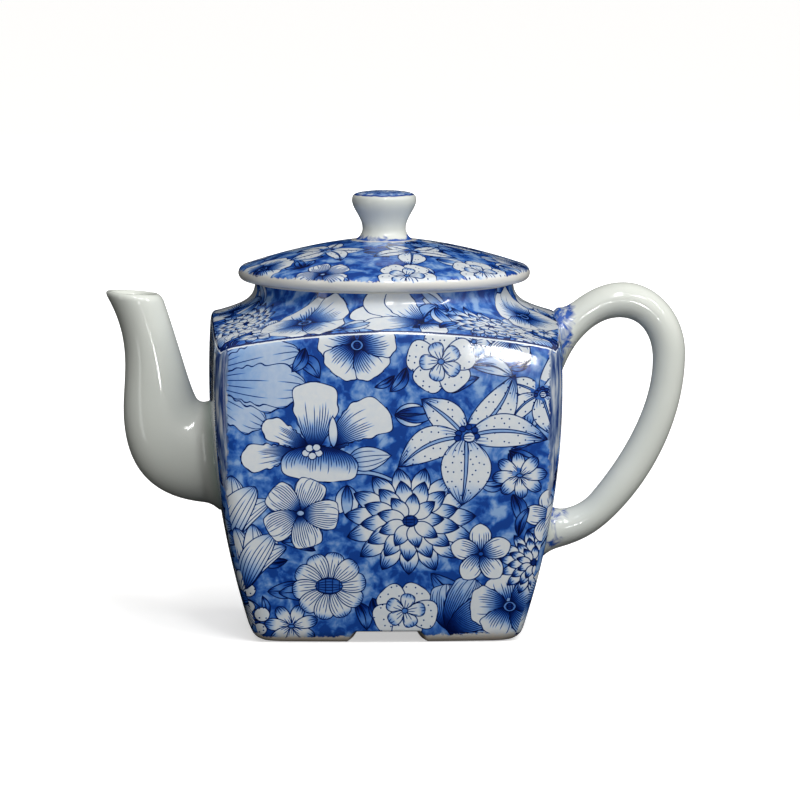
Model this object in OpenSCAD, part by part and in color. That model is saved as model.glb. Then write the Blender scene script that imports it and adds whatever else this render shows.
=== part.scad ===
// Square porcelain teapot with a lift-off lid, in millimetres.
// +Z is up, +X runs from the spout towards the handle, and the origin is the
// middle of the body on the table.

/* [Body] */
// Width across the middle of two opposite faces, at the widest level
body_width = 90.4; // [80:0.2:100]
// Height of the widest level above the table
widest_level = 66; // [56:1:70]
// Radius of the barrel curve that each face follows from foot to shoulder
barrel_radius = 207; // [180:1:400]
// How far each face bows out between its two corners
face_bow = 1; // [0.4:0.1:2]
// Radius of the upright corners
corner_radius = 5; // [3:0.5:8]
// Thickness of the porcelain wall
wall = 3.2; // [2.6:0.1:4]

/* [Shoulder and mouth] */
// Height of the shoulder's ridge over the middle of each face
ridge_level = 80.7; // [76:0.1:82]
// Height of the mouth rim, which the lid rests on
mouth_level = 89.8; // [88:0.1:96]
// Outer radius of the neck at the mouth
neck_radius = 33.3; // [31:0.1:36]
// Radius of the round mouth
mouth_radius = 28.5; // [26:0.1:29]

/* [Foot] */
// Height of the feet
foot_height = 3; // [2:0.1:5]
// Width of the bearing strip of each foot
foot_strip = 5; // [4:0.5:7]
// Width of the notch between two feet, at the table
notch_width = 20.6; // [12:0.2:30]
// Thickness of the floor
floor_thickness = 4; // [3:0.5:6]

/* [Spout] */
// Distance from the body's axis to the tip of the spout
spout_reach = 72.3; // [68:0.1:80]
// Height of the spout's tip
spout_top = 87.1; // [82:0.1:92]
// Thickness of the spout's wall
spout_wall = 2.3; // [1.8:0.1:2.8]

/* [Handle] */
// Distance from the body's axis to the outside of the handle
handle_reach = 77.8; // [70:0.1:90]
// Height of the handle's crown
handle_top = 88.9; // [84:0.1:96]
// Half the depth of the handle's section at the grip
handle_half_depth = 4.7; // [4:0.1:6]

/* [Lid] */
// Largest radius of the lid, at its rounded rim
lid_radius = 37.6; // [35.5:0.1:40]
// Radius of the rim's rounding
lid_rim_round = 1.9; // [1.4:0.1:2.2]
// Height of the lid's crown above the mouth rim
lid_rise = 11.1; // [9:0.1:14]
// Thickness of the lid over its hollow
lid_thickness = 3; // [2.5:0.1:4]
// Gap all round between the lid's flange and the mouth
flange_gap = 0.5; // [0.3:0.1:1]
// Depth of the flange below the mouth rim
flange_depth = 7.5; // [5:0.5:12]
// Radius of the vent hole in the lid
vent_radius = 1.2; // [0.8:0.1:1.8]

/* [Knob] */
// Height of the knob
knob_height = 12.6; // [10:0.1:18]
// Largest radius of the knob, near its top
knob_radius = 8.3; // [7:0.1:10]
// Radius of the knob's waist
knob_waist = 5.6; // [4:0.1:6.5]

/* [Hidden] */

half_width = body_width / 2;
foot_round = foot_height;

// The body is cut at this level, and the collar stands on the cut
collar_level = mouth_level - 4.2;
// The shoulder falls this much for each millimetre outwards, past the ridge
shoulder_fall = 0.24;
// The hollow's shoulder lies this far under the outer one
shoulder_drop = wall + 0.1;
// A circle round the body's corners, for the solids that trim the body
clear_radius = body_width;

// The spout's root covers a round opening in the wall, which holds the strainer
spout_root = half_width - 1.7;
spout_foot = 0.367 * spout_top;
// The spout's tube starts inside the body, which trims it
spout_start = -0.1;
strainer_level = 0.515 * spout_top;
strainer_radius = 9;
strainer_thickness = 2.4;
strainer_hole = 1.5;
strainer_circle = 5.4;

handle_root = half_width - 2.2;
handle_foot = 0.216 * handle_top;

flange_radius = mouth_radius - flange_gap;
flange_wall = 2.7;
knob_base = 7.2;

porcelain_blue = [0.33, 0.48, 0.78];
celadon = [0.78, 0.81, 0.78];
warm_white = [0.88, 0.86, 0.83];

// ---- Curves ----

// A point on the cubic curve with ends a and d and handles b and c
function cubic(a, b, c, d, t) =
    pow(1 - t, 3) * a + 3 * pow(1 - t, 2) * t * b + 3 * (1 - t) * t * t * c + pow(t, 3) * d;

// A point on a chain of cubic curves: 0 is its start, and each curve adds 1.
// A number below 0 runs on past the start.
function chain_at(chain, s) =
    let (last = (len(chain) - 4) / 3, i = max(0, min(floor(s), last)))
    cubic(chain[3 * i], chain[3 * i + 1], chain[3 * i + 2], chain[3 * i + 3], s - i);

// ---- Solids made of rings ----

// Joins rings of the same number of points, in order, into one closed solid
module ring_solid(rings) {
    n = len(rings[0]);
    last = len(rings) - 1;
    sides = [for (i = [0:last - 1], j = [0:n - 1])
        let (a = i * n + j, b = i * n + (j + 1) % n)
        each [[a, b + n, b], [a, a + n, b + n]]];
    bottom = [for (j = [0:n - 1]) j];
    top = [for (j = [n - 1:-1:0]) last * n + j];
    polyhedron(points = [for (ring = rings) each ring], faces = concat([bottom], sides, [top]));
}

// Joins rings into a tube: the outer rings from first to last, and the inner ones back
module tube_solid(outer, inner) {
    n = len(outer[0]);
    rings = concat(outer, [for (i = [len(inner) - 1:-1:0]) inner[i]]);
    count = len(rings);
    sides = [for (i = [0:count - 1], j = [0:n - 1])
        let (k = (i + 1) % count, a = i * n + j, b = i * n + (j + 1) % n,
             c = k * n + (j + 1) % n, d = k * n + j)
        each [[a, c, b], [a, d, c]]];
    polyhedron(points = [for (ring = rings) each ring], faces = sides);
}

// An oval ring across the plane between two points [x, z], with a half depth along Y.
// inset takes the wall's thickness off all round.
function oval_ring(from, to, half_depth, inset, sides) =
    let (middle = (from + to) / 2, arm = (to - from) / 2, long = norm(arm),
         reach = arm * (long - inset) / long)
    [for (k = [0:sides - 1])
        let (angle = 360 * k / sides, p = middle + reach * cos(angle))
        [p.x, (half_depth - inset) * sin(angle), p.y]];

// ---- Body ----

// Half the body's width at a level, over the middle of a face
function half_at(z) = half_width - pow(z - widest_level, 2) / (2 * barrel_radius);

// One quarter of the body's outline with half width h: a bowed face and a round corner
function quarter(h, radius) =
    let (side = h - face_bow, slope = atan(2 * face_bow / side),
         middle = side - radius * cos(slope), reach = middle + radius * sin(slope))
    concat([for (k = [-3:2]) [h - face_bow * pow(k / 3, 2), reach * k / 3]],
           [for (k = [0:5])
               let (angle = slope + (90 - 2 * slope) * k / 6)
               [middle + radius * cos(angle), middle + radius * sin(angle)]]);

// The body's outline with half width h, at level z
function outline(h, radius, z) =
    [for (turn = [0:3], p = quarter(h, radius))
        [p.x * cos(90 * turn) - p.y * sin(90 * turn), p.x * sin(90 * turn) + p.y * cos(90 * turn), z]];

// The barrel between two levels, set in by inset all round
module barrel(low, high, inset) {
    steps = max(3, round((high - low) / 7));
    ring_solid([for (i = [0:steps])
        let (z = low + (high - low) * i / steps)
        outline(half_at(z) - inset, max(corner_radius - inset, 1.5), z)]);
}

// A round solid under the shoulder and neck. drop lowers it and narrow takes it in
module under_shoulder(drop, narrow) {
    outer = clear_radius;
    rotate_extrude($fn = 96)
        polygon(concat(
            [[0, 0], [outer, 0], [outer, ridge_level - drop - shoulder_fall * (outer - half_width)]],
            [for (i = [0:10]) shoulder_at(1 - i / 10, drop, narrow)],
            [[neck_radius - narrow, mouth_level], [0, mouth_level]]));
}

// A point [radius, z] of the neck's hollow curve: 0 at the neck, 1 at the ridge
function shoulder_at(t, drop, narrow) =
    cubic([neck_radius - narrow, mouth_level - drop - 0.7],
          [neck_radius - narrow + 0.1, mouth_level - drop - 5],
          [neck_radius - narrow + 3.2, ridge_level - drop + 2.6],
          [half_width, ridge_level - drop], t);

module body_shell() {
    color(porcelain_blue)
        difference() {
            intersection() {
                barrel(foot_height, mouth_level, 0);
                under_shoulder(0, 0);
                cylinder(r = clear_radius, h = collar_level);
            }
            intersection() {
                cavity_barrel();
                under_shoulder(shoulder_drop, neck_radius - mouth_radius - 1);
            }
            spout_opening();
        }
}

// The barrel inside the wall, from below the floor to above the mouth
module cavity_barrel() {
    barrel(foot_height - 1, mouth_level + 1, wall);
}

// The round opening in the wall behind the spout
module spout_opening() {
    translate([-half_width - 5, 0, strainer_level])
        rotate([0, 90, 0])
            cylinder(r = strainer_radius, h = 5 + wall + 5, $fn = 48);
}

module floor_slab() {
    color(warm_white)
        intersection() {
            cavity_barrel();
            translate([-half_width, -half_width, foot_height])
                cube([body_width, body_width, floor_thickness]);
        }
}

// ---- Foot ----

// Half the notch's outline, from its foot to its top: a double curve
function notch_edge() =
    [for (i = [0:8]) [notch_width / 2 - 0.16 * notch_width * (1 - cos(22.5 * i)) / 2,
                      foot_height * i / 8]];

// A notch through both opposite sides, along Y
module notch() {
    edge = notch_edge();
    rotate([90, 0, 0])
        linear_extrude(height = body_width + 2, center = true)
            polygon(concat([[-notch_width / 2, -1], [notch_width / 2, -1]], edge,
                           [[edge[8].x, foot_height + 1], [-edge[8].x, foot_height + 1]],
                           [for (i = [8:-1:0]) [-edge[i].x, edge[i].y]]));
}

module corner_feet() {
    strip_edge = half_at(0) - foot_round - foot_strip;
    color(warm_white)
        difference() {
            ring_solid([for (i = [0:4])
                let (z = foot_height * (1 - cos(90 * i / 4)),
                     tuck = foot_round - foot_round * sin(90 * i / 4))
                outline(half_at(z) - tuck, corner_radius, z)]);
            translate([-strip_edge, -strip_edge, -1])
                cube([2 * strip_edge, 2 * strip_edge, foot_height + 2]);
            notch();
            rotate([0, 0, 90])
                notch();
        }
}

// ---- Neck ----

module neck_collar() {
    color(porcelain_blue)
        difference() {
            under_shoulder(0, 0);
            translate([0, 0, -1])
                cylinder(r = clear_radius + 1, h = collar_level + 1, $fn = 96);
            cylinder(r = mouth_radius, h = mouth_level + 1, $fn = 96);
        }
}

// ---- Spout ----

// Shares of the spout's reach and rise become a point [x, z]
function spout_point(p) =
    [-spout_root - (spout_reach - spout_root) * p.x, spout_foot + (spout_top - spout_foot) * p.y];

spout_outer = [for (p = [[0, 0], [0.57, 0.01], [0.83, 0.16], [0.825, 0.455],
                         [0.82, 0.62], [0.74, 0.78], [1, 1]]) spout_point(p)];
spout_inner = [for (p = [[0, 0.457], [0.07, 0.459], [0.13, 0.465], [0.17, 0.49],
                         [0.243, 0.563], [0.33, 0.753], [0.476, 0.966]]) spout_point(p)];

// Half the spout's depth: wide at the root, narrow below the lip
function spout_half_depth(s) = 6.6 + 4.4 * pow(1 - s / 2, 2) + 0.5 * pow(s / 2, 6);

function spout_rings(inset, start, end) =
    [for (i = [0:24])
        let (s = start + (end - start) * i / 24)
        oval_ring(chain_at(spout_outer, s), chain_at(spout_inner, s), spout_half_depth(s),
                  inset, 24)];

module spout() {
    color(celadon)
        difference() {
            tube_solid(spout_rings(0, spout_start, 2), spout_rings(spout_wall, spout_start, 2));
            barrel(foot_height, mouth_level, 0);
        }
}

// A round pierced plate that fills the opening behind the spout
module spout_strainer() {
    color(celadon)
        translate([-half_at(strainer_level) + 0.4, 0, strainer_level])
            rotate([0, 90, 0])
                difference() {
                    cylinder(r = strainer_radius, h = strainer_thickness, $fn = 48);
                    translate([0, 0, -1])
                        cylinder(r = strainer_hole, h = strainer_thickness + 2, $fn = 24);
                    for (turn = [0:60:300])
                        rotate([0, 0, turn])
                            translate([strainer_circle, 0, -1])
                                cylinder(r = strainer_hole, h = strainer_thickness + 2, $fn = 24);
                }
}

// ---- Handle ----

// Shares of the handle's reach and rise become a point [x, z]
function handle_point(p) =
    [handle_root + (handle_reach - handle_root) * p.x,
     handle_foot + (handle_top - handle_foot) * p.y];

handle_outer = [for (p = [[0, 0.852], [0.158, 0.93], [0.33, 1.003], [0.549, 1],
                          [0.79, 0.997], [1, 0.88], [1, 0.736],
                          [1, 0.5], [0.77, 0.265], [0.445, 0.115],
                          [0.315, 0.055], [0.172, 0.015], [-0.144, -0.009]]) handle_point(p)];
handle_inner = [for (p = [[0, 0.607], [0.115, 0.729], [0.273, 0.869], [0.511, 0.869],
                          [0.675, 0.869], [0.759, 0.801], [0.759, 0.714],
                          [0.759, 0.542], [0.546, 0.356], [0.302, 0.212],
                          [0.216, 0.165], [0.115, 0.148], [-0.144, 0.146]]) handle_point(p)];

// Half the handle's depth: a little wider where it joins the body
function handle_half(s) = handle_half_depth + 1.6 * pow(max(0, 1 - s), 2) + pow(max(0, s - 3), 2);

module handle() {
    color(celadon)
        difference() {
            ring_solid([for (i = [0:44])
                let (s = i / 11)
                oval_ring(chain_at(handle_outer, s), chain_at(handle_inner, s), handle_half(s),
                          0, 16)]);
            barrel(foot_height, mouth_level, 0);
        }
}

// ---- Lid ----

// Height of the lid's upper surface at a radius: a low dome that steepens outwards
function lid_top(r) = mouth_level + lid_rise - 0.06 * r - 0.004 * r * r;

lid_seat = lid_top(knob_base);

module lid_cap() {
    rim = lid_radius - lid_rim_round;
    hollow = flange_radius - flange_wall;
    color(porcelain_blue)
        difference() {
            rotate_extrude($fn = 96)
                polygon(concat(
                    [[0, lid_seat - lid_thickness]],
                    [for (i = [0:6])
                        let (r = knob_base + (hollow - knob_base) * i / 6)
                        [r, lid_top(r) - lid_thickness]],
                    [[hollow, mouth_level]],
                    [for (angle = [-90:15:75])
                        [rim + lid_rim_round * cos(angle),
                         mouth_level + lid_rim_round + lid_rim_round * sin(angle)]],
                    [for (i = [0:8])
                        let (r = rim + (knob_base - rim) * i / 8)
                        [r, lid_top(r)]],
                    [[0, lid_seat]]));
            translate([0, knob_base * 2, mouth_level])
                cylinder(r = vent_radius, h = lid_rise + 1, $fn = 24);
        }
}

module lid_flange() {
    color(warm_white)
        translate([0, 0, mouth_level - flange_depth])
            difference() {
                cylinder(r = flange_radius, h = flange_depth, $fn = 96);
                translate([0, 0, -1])
                    cylinder(r = flange_radius - flange_wall, h = flange_depth + 2, $fn = 96);
            }
}

module knob() {
    side = [[knob_base, 0], [knob_waist + 0.3, 0.08], [knob_waist, 0.15], [knob_waist, 0.24],
            [knob_waist, 0.5], [knob_radius - 0.2, 0.66], [knob_radius, 0.85],
            [knob_radius, 0.97], [knob_radius - 2.5, 1], [0, 1]];
    points = [for (p = side) [p.x, lid_seat + knob_height * p.y]];
    color(celadon)
        rotate_extrude($fn = 64)
            polygon(concat([[0, lid_seat]], [for (i = [0:24]) chain_at(points, i / 8)]));
}

body_shell();
floor_slab();
corner_feet();
neck_collar();
spout();
spout_strainer();
handle();
lid_cap();
lid_flange();
knob();
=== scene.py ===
# A square blue-and-white porcelain teapot. This script makes the glazed shapes and the flower
# print around the CAD frame. Lengths are millimetres until a mesh is made.
import math

import bpy
import numpy as np
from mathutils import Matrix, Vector


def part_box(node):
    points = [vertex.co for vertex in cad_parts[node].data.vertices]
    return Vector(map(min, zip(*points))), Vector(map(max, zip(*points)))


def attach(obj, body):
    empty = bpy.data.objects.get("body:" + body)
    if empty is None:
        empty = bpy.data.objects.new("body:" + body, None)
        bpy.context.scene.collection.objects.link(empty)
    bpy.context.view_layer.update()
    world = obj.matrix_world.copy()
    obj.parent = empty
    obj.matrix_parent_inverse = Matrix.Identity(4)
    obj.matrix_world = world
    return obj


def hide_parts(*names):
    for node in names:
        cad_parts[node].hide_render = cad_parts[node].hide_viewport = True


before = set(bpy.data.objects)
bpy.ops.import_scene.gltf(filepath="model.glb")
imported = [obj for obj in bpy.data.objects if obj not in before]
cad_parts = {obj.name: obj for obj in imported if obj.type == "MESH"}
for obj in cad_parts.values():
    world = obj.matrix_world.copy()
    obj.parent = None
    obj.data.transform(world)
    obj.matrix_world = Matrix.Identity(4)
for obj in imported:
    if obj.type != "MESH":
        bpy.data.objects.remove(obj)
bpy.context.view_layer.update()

MM = 0.001


def top_of(node):
    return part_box(node)[1].z / MM


def bottom_of(node):
    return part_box(node)[0].z / MM


# ---- Sizes, as in the CAD model ----

HALF_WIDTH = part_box("body_shell")[1].x / MM
WIDEST_LEVEL = 66
BARREL_RADIUS = 207
FACE_BOW = 1
CORNER_RADIUS = 5
WALL = 3.2

FOOT_HEIGHT = bottom_of("body_shell")
FOOT_STRIP = 5
NOTCH_HALF = 10.3
NOTCH_TOP_HALF = 7
FLOOR_LEVEL = top_of("floor_slab")

RIDGE_LEVEL = 80.7
SHOULDER_FALL = 0.24
MOUTH_LEVEL = top_of("neck_collar")
NECK_RADIUS = 33.3
MOUTH_RADIUS = 28.5
SHOULDER_THICKNESS = 3.3

STRAINER_LEVEL = (top_of("spout_strainer") + bottom_of("spout_strainer")) / 2
STRAINER_RADIUS = (top_of("spout_strainer") - bottom_of("spout_strainer")) / 2

SPOUT_REACH = -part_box("spout")[0].x / MM
SPOUT_ROOT = HALF_WIDTH - 1.7
SPOUT_TOP = 87.1
SPOUT_FOOT = 0.367 * SPOUT_TOP
SPOUT_WALL = 2.3

HANDLE_REACH = 77.8
HANDLE_ROOT = HALF_WIDTH - 2.2
HANDLE_TOP = 88.9
HANDLE_FOOT = 0.216 * HANDLE_TOP
HANDLE_HALF_DEPTH = 4.7

LID_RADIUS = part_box("lid_cap")[1].x / MM
LID_ROUND = 1.9
LID_RISE = 11.1
LID_THICKNESS = 3
FLANGE_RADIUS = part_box("lid_flange")[1].x / MM
FLANGE_WALL = 2.7
FLANGE_BOTTOM = bottom_of("lid_flange")
VENT_RADIUS = 1.2

KNOB_TOP = top_of("knob")
KNOB_BASE = 7.2
KNOB_WAIST = 5.6
KNOB_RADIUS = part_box("knob")[1].x / MM

# The print is drawn in cells no larger than this
CELL = 1.25
# The foot is left unglazed up to this level
BARE_FOOT = 1.3
# A distance that stands for "nowhere near"
FAR = 99.0


# ---- Camera, floor and light ----

def aim(obj, target):
    """Turns a camera or a light to face a point, given in metres."""
    obj.rotation_euler = (Vector(target) - obj.location).to_track_quat("-Z", "Y").to_euler()


def place(azimuth, elevation, distance, target):
    """The point at a distance from target. Azimuth 0 is in front, and grows towards +X."""
    a, e = math.radians(azimuth), math.radians(elevation)
    step = Vector((math.sin(a) * math.cos(e), -math.cos(a) * math.cos(e), math.sin(e)))
    return Vector(target) + distance * step


def make_camera():
    target = (0.0041, 0, 0.0585)
    view_width = 0.2066
    distance = 2.0
    data = bpy.data.cameras.new("camera")
    data.sensor_width = 36
    data.lens = data.sensor_width * distance / view_width
    camera = bpy.data.objects.new("camera", data)
    bpy.context.scene.collection.objects.link(camera)
    camera.location = place(-1.6, 6.1, distance, target)
    aim(camera, target)
    bpy.context.scene.camera = camera


def show_white(obj, glow, colour=0.8, roughness=0.5):
    """Makes part of the studio a glowing white that sheds no light on the teapot."""
    material = bpy.data.materials.new(obj.name + "_white")
    material.use_nodes = True
    inputs = material.node_tree.nodes["Principled BSDF"].inputs
    inputs["Base Color"].default_value = (colour, colour, colour, 1)
    inputs["Roughness"].default_value = roughness
    inputs["Emission Color"].default_value = (1, 1, 1, 1)
    inputs["Emission Strength"].default_value = glow
    obj.data.materials.append(material)
    obj.visible_diffuse = False
    obj.visible_glossy = False
    obj.visible_shadow = False


def make_floor():
    half = 8.0 / MM
    corners = [(-half, -half, 0), (half, -half, 0), (half, half, 0), (-half, half, 0)]
    show_white(add_object("floor", corners, [(0, 1, 2, 3)]), 0.5, 0.93, 0.7)


def make_backdrop():
    """A white wall round the floor."""
    radius = height = 6 / MM
    columns = 48
    angle = np.arange(columns) * 2 * math.pi / columns
    foot = np.stack([radius * np.cos(angle), radius * np.sin(angle), angle * 0], -1)
    wall = np.vstack([foot, foot + (0, 0, height)])
    show_white(add_object("backdrop", wall, ring_faces(2, columns)), 1.1)


def softbox(name, azimuth, elevation, distance, width, height, brightness, reflects=True):
    """An area light that faces the middle of the teapot. White paper in daylight has brightness 1."""
    target = (0, 0, 0.06)
    data = bpy.data.lights.new(name, "AREA")
    data.shape = "RECTANGLE"
    data.size = width
    data.size_y = height
    data.energy = brightness * math.pi * width * height
    light = bpy.data.objects.new(name, data)
    bpy.context.scene.collection.objects.link(light)
    light.location = place(azimuth, elevation, distance, target)
    light.visible_camera = False
    light.visible_glossy = reflects
    aim(light, target)


def make_lights():
    """A dark room, bright to the upper right in front, with softboxes."""
    world = bpy.data.worlds.new("studio")
    bpy.context.scene.world = world
    world.use_nodes = True
    tree = world.node_tree

    def graded(value, from_min, from_max, to_min, to_max):
        node = tree.nodes.new("ShaderNodeMapRange")
        limits = {"From Min": from_min, "From Max": from_max, "To Min": to_min, "To Max": to_max}
        for key, limit in limits.items():
            node.inputs[key].default_value = limit
        tree.links.new(value, node.inputs["Value"])
        return node.outputs[0]

    direction = tree.nodes.new("ShaderNodeTexCoord").outputs["Generated"]
    facing = tree.nodes.new("ShaderNodeVectorMath")
    facing.operation = "DOT_PRODUCT"
    facing.inputs[1].default_value = place(45, 32, 1, (0, 0, 0))
    tree.links.new(direction, facing.inputs[0])
    height = tree.nodes.new("ShaderNodeSeparateXYZ")
    tree.links.new(direction, height.inputs[0])
    lobe = graded(facing.outputs["Value"], 0.2, 1, 0, 1.55)
    above_horizon = graded(height.outputs["Z"], 0.08, 0.45, 0.1, 1)
    ceiling = graded(height.outputs["Z"], 0.4, 1, 0, 0.15)
    strength = tree.nodes.new("ShaderNodeMath")
    strength.operation = "MULTIPLY_ADD"
    for value, socket in zip((lobe, above_horizon, ceiling), strength.inputs):
        tree.links.new(value, socket)
    background = tree.nodes["Background"]
    background.inputs["Color"].default_value = (1, 0.985, 0.96, 1)
    tree.links.new(strength.outputs[0], background.inputs["Strength"])
    softbox("key", 28, 42, 1.2, 0.35, 0.16, 12)
    softbox("overhead", 4.2, 45, 1.2, 0.11, 0.5, 18)
    softbox("streak", 60, 36, 1.0, 0.035, 0.36, 36)
    softbox("glint", 8.0, 0.6, 1.85, 0.05, 0.12, 110)
    softbox("front", 12, 4, 1.8, 1.2, 0.3, 3.6, reflects=False)
    softbox("window", -58, 8, 1.2, 0.2, 1.0, 2.0)
    softbox("rear", 192, 22, 1.6, 1.0, 1.0, 3.2, reflects=False)


# ---- Meshes made of rings ----

def add_object(name, points, faces):
    """A smooth-shaded object from points in millimetres."""
    mesh = bpy.data.meshes.new(name)
    mesh.from_pydata((np.asarray(points) * MM).tolist(), [], faces)
    mesh.update()
    mesh.shade_smooth()
    obj = bpy.data.objects.new(name, mesh)
    bpy.context.scene.collection.objects.link(obj)
    return obj


def ring_faces(rows, columns, wrap=False):
    """Four-sided faces between rings of points, with the last ring joined to the first if wrap."""
    i, j = np.meshgrid(np.arange(rows if wrap else rows - 1), np.arange(columns), indexing="ij")
    up = (i + 1) % rows
    right = (j + 1) % columns
    corners = [i * columns + j, i * columns + right, up * columns + right, up * columns + j]
    return np.stack(corners, -1).reshape(-1, 4).tolist()


def capped_rings(name, rings):
    """A closed skin over rings [rows, columns, 3], with a point in the middle of each end."""
    rows, columns, _ = rings.shape
    points = np.vstack([rings.reshape(-1, 3), rings[0].mean(0), rings[-1].mean(0)])
    faces = ring_faces(rows, columns)
    first, last = len(points) - 2, len(points) - 1
    for j in range(columns):
        k = (j + 1) % columns
        faces.append([first, k, j])
        faces.append([last, (rows - 1) * columns + j, (rows - 1) * columns + k])
    return add_object(name, points, faces)


def turned(name, profile, columns):
    """A closed solid of revolution. The profile runs from the lower end of the axis, [r, z]."""
    angle = np.arange(columns) * 2 * math.pi / columns
    r = np.array(profile)[:, :1]
    z = np.repeat(np.array(profile)[:, 1:], columns, 1)
    return capped_rings(name, np.stack([r * np.cos(angle), r * np.sin(angle), z], -1))


def cubic(a, b, c, d, t):
    """Points on the cubic curve with ends a and d and handles b and c."""
    a, b, c, d = (np.array(p, float) for p in (a, b, c, d))
    t = np.asarray(t, float)[..., None]
    return (1 - t) ** 3 * a + 3 * (1 - t) ** 2 * t * b + 3 * (1 - t) * t * t * c + t ** 3 * d


def chain_at(chain, s):
    """The point at s on a chain of cubic curves. Each curve adds 1, and s may start below 0."""
    last = (len(chain) - 4) // 3
    i = max(0, min(math.floor(s), last))
    return cubic(*chain[3 * i:3 * i + 4], s - i)


def drill(obj, centre, axis, radius, depth, sides):
    """Cuts a round hole through a piece and keeps its faces' materials and attributes."""
    angle = np.arange(sides) * 2 * math.pi / sides
    side_a = Vector(axis).orthogonal().normalized()
    side_b = Vector(axis).cross(side_a)
    round_ = np.outer(np.cos(angle), side_a) + np.outer(np.sin(angle), side_b)
    ends = [np.array(centre) + radius * round_ + np.array(axis) * d for d in (-depth, depth)]
    cutter = capped_rings("cutter", np.array(ends))
    hole = obj.modifiers.new("hole", "BOOLEAN")
    hole.operation = "DIFFERENCE"
    hole.solver = "EXACT"
    hole.object = cutter
    graph = bpy.context.evaluated_depsgraph_get()
    mesh = bpy.data.meshes.new_from_object(obj.evaluated_get(graph), depsgraph=graph)
    obj.modifiers.clear()
    obj.data = mesh
    bpy.data.objects.remove(cutter)


# ---- The body's shape ----

def half_at(z):
    """Half the body's width at a level, over the middle of a face."""
    return HALF_WIDTH - (z - WIDEST_LEVEL) ** 2 / (2 * BARREL_RADIUS)


def make_columns():
    """The body's columns: where each lies on its face or corner arc, and which face it is on."""
    fine = np.linspace(-1, 1, round(2 * HALF_WIDTH / CELL) - 5)
    step = fine[1] - fine[0]
    notch = [u + step / 2 for u in fine[:-1] if 0.18 < abs(u + step / 2) < 0.38]
    face = np.sort(np.concatenate([fine[:-1], notch]))
    arc = np.arange(8) / 8
    along = np.concatenate([face, np.ones(len(arc))])
    turn = np.concatenate([np.zeros(len(face)), arc])
    on_arc = np.concatenate([np.zeros(len(face), bool), np.ones(len(arc), bool)])
    return np.tile(along, 4), np.tile(turn, 4), np.tile(on_arc, 4), np.repeat(np.arange(4), len(along))


ALONG, ROUND, ON_ARC, SIDE = make_columns()
COLUMNS = len(ALONG)


def side_outline(h, radius):
    """Each column's place out from its own side's middle and along it, at half width h."""
    edge = h - FACE_BOW
    slope = np.arctan(2 * FACE_BOW / edge)
    middle = edge - radius * np.cos(slope)
    reach = middle + radius * np.sin(slope)
    angle = slope + (math.pi / 2 - 2 * slope) * ROUND
    out = np.where(ON_ARC, middle + radius * np.cos(angle), h - FACE_BOW * ALONG ** 2)
    along = np.where(ON_ARC, middle + radius * np.sin(angle), reach * ALONG)
    return out, along


def ring(h, radius, z):
    """The body's outline as a ring of points. h and z are numbers or one value a column."""
    out, along = side_outline(h, radius)
    cos, sin = np.cos(SIDE * math.pi / 2), np.sin(SIDE * math.pi / 2)
    return np.stack([out * cos - along * sin, out * sin + along * cos, z + np.zeros(COLUMNS)], -1)


class Shoulder:
    """The hollow curve from the neck out over the body, turned about the axis."""

    def __init__(self, drop, neck):
        start = MOUTH_LEVEL - drop
        ridge = RIDGE_LEVEL - drop
        curve = cubic((neck, start - 0.7), (neck + 0.1, start - 5), (neck + 3.2, ridge + 2.6),
                      (HALF_WIDTH, ridge), np.linspace(0, 1, 160))
        tail = np.linspace(HALF_WIDTH, 1.5 * HALF_WIDTH, 80)[1:]
        fall = ridge - SHOULDER_FALL * (tail - HALF_WIDTH)
        self.r = np.concatenate([curve[:, 0], tail])
        self.z = np.concatenate([curve[:, 1], fall])
        steps = np.hypot(np.diff(self.r), np.diff(self.z))
        self.length = np.concatenate([[0], np.cumsum(steps)])

    def level(self, r):
        return np.interp(r, self.r, self.z)

    def length_at(self, r):
        return np.interp(r, self.r, self.length)

    def ring(self, length, direction):
        """Points at a length from the neck, one in each direction."""
        r = np.interp(length, self.length, self.r)
        z = np.interp(length, self.length, self.z)
        return np.stack([r * direction[:, 0], r * direction[:, 1], z], -1)


def meet_shoulder(shoulder, inset, radius):
    """The level where each column of the barrel meets a shoulder."""
    low = np.full(COLUMNS, 60.0)
    high = np.full(COLUMNS, MOUTH_LEVEL)
    for _ in range(30):
        z = (low + high) / 2
        point = ring(half_at(z) - inset, radius, z)
        under = shoulder.level(np.hypot(point[:, 0], point[:, 1])) > z
        low = np.where(under, z, low)
        high = np.where(under, high, z)
    return (low + high) / 2


def rounded(a, corner, b, steps):
    """Rings that round off the corner between two rings, without the two themselves."""
    return [(1 - t) ** 2 * a + 2 * (1 - t) * t * corner + t * t * b
            for t in (np.arange(1, steps) / steps)]


def foot_base():
    """Each column's lowest level: the table under a foot, and the notch's top between feet."""
    _, along = side_outline(half_at(0) - FOOT_HEIGHT, CORNER_RADIUS)
    share = np.clip((np.abs(along) - NOTCH_TOP_HALF) / (NOTCH_HALF - NOTCH_TOP_HALF), 0, 1)
    share = np.where(ON_ARC, 1, share)
    return FOOT_HEIGHT * (1 - share * share * (3 - 2 * share))


def foot_tuck(z, base):
    """How far the foot draws in at a level: a quarter round, and a small round at its edge."""
    edge = 0.5
    rise = np.clip(FOOT_HEIGHT - z, 0, FOOT_HEIGHT)
    tuck = FOOT_HEIGHT - np.sqrt(FOOT_HEIGHT ** 2 - rise ** 2)
    lift = np.clip(edge - (z - base), 0, edge)
    return np.maximum(tuck, edge - np.sqrt(edge ** 2 - lift ** 2))


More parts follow.
